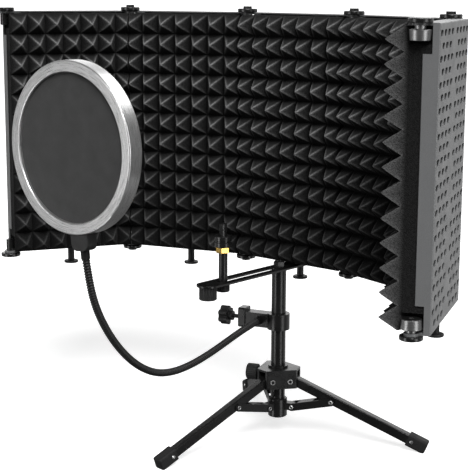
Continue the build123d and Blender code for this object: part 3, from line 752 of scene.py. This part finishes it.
# ---------------------------------------------------------------- microphone post
def threaded(name, place, root, crest, pitch, bottom, top, slot):
    """Screw thread: a rod whose radius follows a winding ridge, with a plain chamfered end."""
    sides, per_turn, chamfer = 36, 8, 0.9
    count = int(round((top - bottom) / pitch * per_turn))
    vertices = []
    for n in range(count + 1):
        z = bottom + (top - bottom) * n / count
        for i in range(sides):
            phase = (n / per_turn - i / sides) % 1.0
            radius = root + (crest - root) * (1 - abs(2 * phase - 1))
            if n == count:
                radius = root * chamfer
            a = 2 * math.pi * i / sides
            vertices.append(place + Vector((radius * math.cos(a), radius * math.sin(a), z)))
    faces = []
    for n in range(count):
        for i in range(sides):
            j = (i + 1) % sides
            faces.append((n * sides + i, n * sides + j, (n + 1) * sides + j, (n + 1) * sides + i))
    faces.append(tuple(reversed(range(sides))))
    faces.append(tuple(range(count * sides, (count + 1) * sides)))
    piece = add_piece(name, vertices, faces, slot)
    outward(piece)
    return piece


def adapter():
    """Black barrel with a groove round it and the 3/8 inch stud on top."""
    profile = [
        (9.4, 259.0), (10.2, 259.6), (10.2, 264.6), (9.5, 265.1), (9.5, 266.3),
        (10.2, 266.8), (10.2, 271.6), (9.4, 272.5), (4.6, 272.5),
    ]
    place = Matrix.Translation(POST)
    barrel = lathe("adapter_barrel", [(r * MM, z * MM) for r, z in profile], place, "knob_black")
    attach(barrel, body_of_node("thread_adapter"))
    root, crest, pitch, bottom, top = (x * MM for x in (4.25, 4.76, 1.4, 272.0, 287.0))
    stud = threaded("adapter_stud", POST, root, crest, pitch, bottom, top, "satin_black")
    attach(stud, body_of_node("thread_adapter"))
    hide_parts("thread_adapter")


# ---------------------------------------------------------------- hinge sleeves
def sleeves(k, place):
    """Turned sleeves of panel k, above and below, with a neck under the lug; slim and black on panel 1."""
    profile = [
        (3.1, 292.8), (9.9, 292.8), (10.4, 293.3), (11.17, 303.1), (10.7, 303.6),
        (6.0, 303.6), (5.5, 304.0), (5.5, 307.4), (3.1, 307.4),
    ]
    spacer = [(3.1, 292.8), (5.3, 292.8), (5.5, 293.0), (5.5, 307.4), (3.1, 307.4)]
    outline, slot = (spacer, "satin_black") if k == 1 else (profile, "sleeve_metal")
    ends = (-1, 1) if k == 5 else (-1,)
    for end in ends:
        for upper in (True, False):
            turned = [(r * MM, (z if upper else PANEL_HEIGHT / MM - z) * MM) for r, z in outline]
            at = place @ Matrix.Translation((end * PANEL_PITCH / 2, 0, 0))
            name = f"sleeve_{k}_{'left' if end < 0 else 'right'}_{'upper' if upper else 'lower'}"
            piece = lathe(name, turned, at, slot, 96, hollow=True)
            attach(piece, body_of_node(f"hinge_sleeves_{k}"))
    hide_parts(f"hinge_sleeves_{k}")


# ---------------------------------------------------------------- leg screws
def leg_screws():
    """Small screw through the side of each leg's rubber cap."""
    profile = [(0.1, -1.0), (2.3, -1.0), (2.3, 0.3), (1.9, 0.8), (1.1, 1.0), (1.1, 0.3), (0.1, 0.3)]
    along, out = LEG_LENGTH - 12 * MM, 7.5 * MM
    for k, angle in enumerate(LEG_HEADINGS, start=1):
        leg = Matrix.Translation(POLE) @ turned_about("Z", angle)
        leg = leg @ Matrix.Translation((LEG_PIVOT_R, 0, LEG_PIVOT_Z)) @ turned_about("Y", LEG_SLOPE)
        for side in (-1, 1):
            place = leg @ Matrix.Translation((along, side * out, 0)) @ turned_about("X", -90 * side)
            name = f"leg_screw_{k}_{'near' if side < 0 else 'far'}"
            screw = lathe(name, [(r * MM, z * MM) for r, z in profile], place, "rivet_steel", 24)
            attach(screw, f"folding_leg_{k}")


def eyelets():
    """Bright rolled rim round each end of the tripod's pins, on the hub's faces and on the braces."""
    on_face = [(1.9, -0.4), (1.9, 0.2), (2.2, 0.6), (2.9, 0.6), (3.2, 0.2), (3.2, -0.4)]
    on_head = [(1.2, -0.3), (1.3, 0.2), (1.6, 0.45), (2.2, 0.45), (2.7, 0.1), (2.7, -0.3)]
    for k, angle in enumerate(LEG_HEADINGS, start=1):
        leg = Matrix.Translation(POLE) @ turned_about("Z", angle)
        low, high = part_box(f"brace_rivet_{k}")
        rivet = leg.inverted() @ ((Vector(low) + Vector(high)) / 2)
        for side in (-1, 1):
            rims = (
                ("hub_pins", on_face, (LEG_PIVOT_R, side * HUB_FACE, LEG_PIVOT_Z), 60.0),
                ("collar_pins", on_head, (LEG_PIVOT_R, side * COLLAR_PIN_END, COLLAR_PIVOT_Z), 90.0),
                (f"brace_rivet_{k}", on_head, (rivet.x, side * BRACE_PIN_END, rivet.z), 90.0),
            )
            for node, profile, centre, turn in rims:
                place = leg @ Matrix.Translation(centre) @ turned_about("Z", side * turn)
                place = place @ turned_about("Y", 90.0)
                name = f"eyelet_{node.split('_')[0]}_{k}_{'near' if side < 0 else 'far'}"
                outline = [(r * MM, z * MM) for r, z in profile]
                rim = lathe(name, outline, place, "rivet_steel", 32, hollow=True)
                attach(rim, body_of_node(node))


# ---------------------------------------------------------------- studio
def reflector(name, heading, distance, height, size, radiance):
    """Soft box that only shows in glossy surfaces, facing the object from a heading in degrees."""
    data = bpy.data.lights.new(name, "AREA")
    data.shape = "RECTANGLE"
    data.size, data.size_y = size
    data.energy = math.pi * size[0] * size[1] * radiance
    light = bpy.data.objects.new(name, data)
    bpy.context.scene.collection.objects.link(light)
    a = math.radians(heading)
    light.location = (distance * math.cos(a), distance * math.sin(a), height)
    middle = Vector((0.0, 0.0, min(height, AIM_HEIGHT)))
    light.rotation_euler = (middle - light.location).to_track_quat("-Z", "Y").to_euler()
    light.visible_diffuse = False
    light.visible_camera = False


def glowing_white(name, noise_scale, strength):
    """Off-white paint that glows a little, so that it renders evenly pale."""
    white = (1.0, 1.0, 1.0, 1.0)
    s = Shader(name, 0.9, Specular_IOR_Level=0.1, Emission_Color=white, Emission_Strength=strength)
    s.colour(s.noise(noise_scale), grey(0.90), grey(0.93))
    return s.material


def studio_mesh(name, vertices, faces, material):
    """Mesh of the studio, which throws no light on the object and doesn't show in its reflections."""
    mesh = bpy.data.meshes.new(name)
    mesh.from_pydata(vertices, [], faces)
    mesh.materials.append(material)
    made = bpy.data.objects.new(name, mesh)
    bpy.context.scene.collection.objects.link(made)
    made.visible_diffuse = False
    made.visible_glossy = False
    return made


def backdrop():
    """Round white wall far behind the object."""
    sides, radius, height = 96, 30.0, 24.0
    turns = [2 * math.pi * i / sides for i in range(sides)]
    vertices = [(radius * math.cos(a), radius * math.sin(a), z) for z in (-1.0, height) for a in turns]
    faces = [(i, (i + 1) % sides, sides + (i + 1) % sides, sides + i) for i in range(sides)]
    wall = studio_mesh("backdrop", vertices, faces, glowing_white("studio_backdrop", 0.2, 1.0))
    wall.visible_shadow = False


def studio():
    """Pale floor, even surroundings, one soft sun and boxes that only show as reflections."""
    reach = 60.0
    corners = [(x * reach, y * reach, 0.0) for x, y in ((-1, -1), (1, -1), (1, 1), (-1, 1))]
    floor = studio_mesh("floor", corners, [(0, 1, 2, 3)], glowing_white("studio_floor", 0.8, 0.68))
    backdrop()
    world = bpy.data.worlds.new("studio")
    world.use_nodes = True
    background = world.node_tree.nodes["Background"]
    background.inputs["Color"].default_value = (1.0, 1.0, 1.0, 1.0)
    background.inputs["Strength"].default_value = 0.16
    bpy.context.scene.world = world
    sun = bpy.data.lights.new("soft_sun", "SUN")
    sun.energy = 3.3
    sun.angle = math.radians(30.0)
    lamp = bpy.data.objects.new("soft_sun", sun)
    bpy.context.scene.collection.objects.link(lamp)
    lamp.rotation_euler = Vector(TOWARDS_SUN).to_track_quat("Z", "Y").to_euler()
    for box in REFLECTORS:
        reflector(*box)
    bpy.context.scene.view_settings.view_transform = "Standard"


def finish_nodes():
    """Give every CAD node its material; pins and rivets get black satin as painted shade in the hollow
    inside their bright rims.
    """
    for name, node in NODES.items():
        # painted shade: the pins' and rivets' ends are black for the dark hollow inside each rim
        shade_painted = "pins" in name or "rivet" in name
        node.data.materials.clear()
        node.data.materials.append(MATERIALS["satin_black" if shade_painted else slot_of_node(name)])


make_camera()
finish_nodes()
panels = panel_places()
for number, panel in enumerate(panels, start=1):
    foam_block(number, panel)
    sleeves(number, panel)
for number in range(1, len(panels)):
    foam_joint(number, panels)
ribbed_hose()
stretched_mesh("front_mesh", "pop_mesh_front", -1)
stretched_mesh("back_mesh", "pop_mesh_back", 1)
adapter()
leg_screws()
eyelets()
for node, width in (
    ("support_arm", 0.5),
    ("pop_clamp", 0.7),
    ("tripod_hub", 0.5),
    ("clamp_knob", 0.5),
    ("pop_clip", 0.8),
):
    softened(node, width * MM)
studio()
